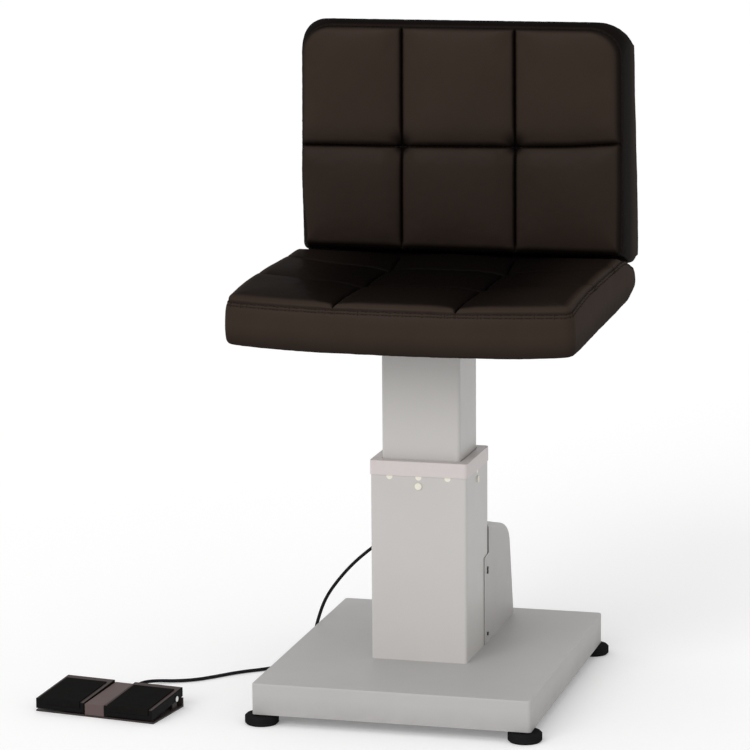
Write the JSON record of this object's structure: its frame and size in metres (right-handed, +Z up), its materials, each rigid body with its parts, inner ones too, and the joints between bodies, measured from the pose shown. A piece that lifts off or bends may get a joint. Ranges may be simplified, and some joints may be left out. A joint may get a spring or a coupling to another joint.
{
  "type": "ophthalmic examination chair",
  "caption": "Examination chair with tufted seat and back on an electrically lifted square column, rectangular base on levelling feet and a corded twin-pedal foot switch.",
  "frame": {"origin": "on the floor under the middle of the base plate", "axes": "+Z up, -Y the way the chair faces, +X to the sitter's left"},
  "size_m": [0.7665, 0.5693, 0.9533],
  "materials": {
    "base_paint": "fine textured powder coat, warm grey",
    "column_paint": "satin paint, light warm grey",
    "collar_paint": "satin paint, pale grey",
    "cover_paint": "satin paint, grey",
    "zinc_steel": "zinc plated sheet",
    "bolt_steel": "zinc plated fasteners",
    "nylon_screw": "natural nylon",
    "dark_screw": "blackened steel",
    "foot_rubber": "moulded black rubber",
    "guide_nylon": "machined nylon",
    "cast_aluminium": "die cast",
    "motor_paint": "black paint",
    "ground_steel": "ground steel",
    "nut_brass": "turned bronze",
    "circuit_board": "green solder mask",
    "transformer_iron": "varnished laminations",
    "black_plastic": "moulded black plastic",
    "cord_jacket": "soft grey sheath",
    "switch_plate_paint": "dark taupe paint",
    "switch_taupe": "moulded dark taupe plastic",
    "tread_rubber": "matt black rubber",
    "pin_chrome": "bright plated",
    "spring_steel": "spring steel",
    "dark_leather": "soft dark brown upholstery leather",
    "plywood": "birch plywood",
    "dust_cloth": "black non-woven cloth"
  },
  "bodies": {
    "root": {"base_tray": "base_paint", "outer_column": "column_paint", "collar": "collar_paint", "rear_cover": "cover_paint", "base_doubler": "zinc_steel", "column_foot": "zinc_steel", "corner_blocks": "zinc_steel", "actuator_plate": "zinc_steel", "column_bolts": "bolt_steel", "lock_nuts": "bolt_steel", "actuator_screws": "bolt_steel", "guide_screws": "nylon_screw", "cover_screws": "dark_screw", "upper_guides": "guide_nylon", "wiper": "guide_nylon", "gearbox": "cast_aluminium", "actuator_tube": "cast_aluminium", "motor": "motor_paint", "screw_bearing": "ground_steel", "control_board": "circuit_board", "transformer": "transformer_iron", "mains_inlet": "black_plastic", "cord_gland": "black_plastic", "limit_switches": "black_plastic", "microswitches": "black_plastic", "switch_gland": "black_plastic", "foot_cable": "cord_jacket", "switch_base": "switch_plate_paint", "bridge_cover": "switch_taupe", "pivot_pins": "pin_chrome", "spring_left": "spring_steel", "spring_right": "spring_steel"},
    "lift": {"inner_column": "column_paint", "lower_guides": "guide_nylon", "striker": "zinc_steel", "drive_nut": "nut_brass", "push_tube": "ground_steel", "clevis_pin": "bolt_steel", "seat_plate": "zinc_steel", "plate_bolts": "bolt_steel", "seat_board": "plywood", "dust_cover": "dust_cloth", "seat_cushion": "dark_leather", "back_brackets": "zinc_steel", "bracket_screws": "bolt_steel", "back_board": "plywood", "back_cushion": "dark_leather"},
    "screw": {"lead_screw": "ground_steel"},
    "pedal_left": {"pedal_left": "switch_taupe", "tread_left": "tread_rubber"},
    "pedal_right": {"pedal_right": "switch_taupe", "tread_right": "tread_rubber"},
    "foot_1": {"levelling_foot_1": "foot_rubber"},
    "foot_2": {"levelling_foot_2": "foot_rubber"},
    "foot_3": {"levelling_foot_3": "foot_rubber"},
    "foot_4": {"levelling_foot_4": "foot_rubber"}
  },
  "joints": [
    {"name": "lift_slide", "type": "slide", "parent": "root", "child": "lift", "axis": [0, 0, 1], "range_m": [-0.16, 0.04]},
    {"name": "screw_turn", "type": "hinge", "parent": "root", "child": "screw", "pos_m": [-0.022, -0.015, 0.2], "axis": [0, 0, 1], "range_deg": [-2890, 11530]},
    {"name": "pedal_left_tilt", "type": "hinge", "parent": "root", "child": "pedal_left", "pos_m": [-0.47042, -0.18495, 0.017], "axis": [0.9903, -0.1392, 0], "range_deg": [0, 1.8], "stiffness_Nm_per_rad": 8, "springref_deg": -1.8, "deforming": ["spring_left"]},
    {"name": "pedal_right_tilt", "type": "hinge", "parent": "root", "child": "pedal_right", "pos_m": [-0.36347, -0.19998, 0.017], "axis": [0.9903, -0.1392, 0], "range_deg": [0, 1.8], "stiffness_Nm_per_rad": 8, "springref_deg": -1.8, "deforming": ["spring_right"]},
    {"name": "foot_1_height", "type": "slide", "parent": "root", "child": "foot_1", "axis": [0, 0, 1], "range_m": [-0.01, 0.001]},
    {"name": "foot_2_height", "type": "slide", "parent": "root", "child": "foot_2", "axis": [0, 0, 1], "range_m": [-0.01, 0.001]},
    {"name": "foot_3_height", "type": "slide", "parent": "root", "child": "foot_3", "axis": [0, 0, 1], "range_m": [-0.01, 0.001]},
    {"name": "foot_4_height", "type": "slide", "parent": "root", "child": "foot_4", "axis": [0, 0, 1], "range_m": [-0.01, 0.001]}
  ],
  "couplings": [
    {"joint": "screw_turn", "follows": "lift_slide", "rad_per_m": -1256.6}
  ]
}
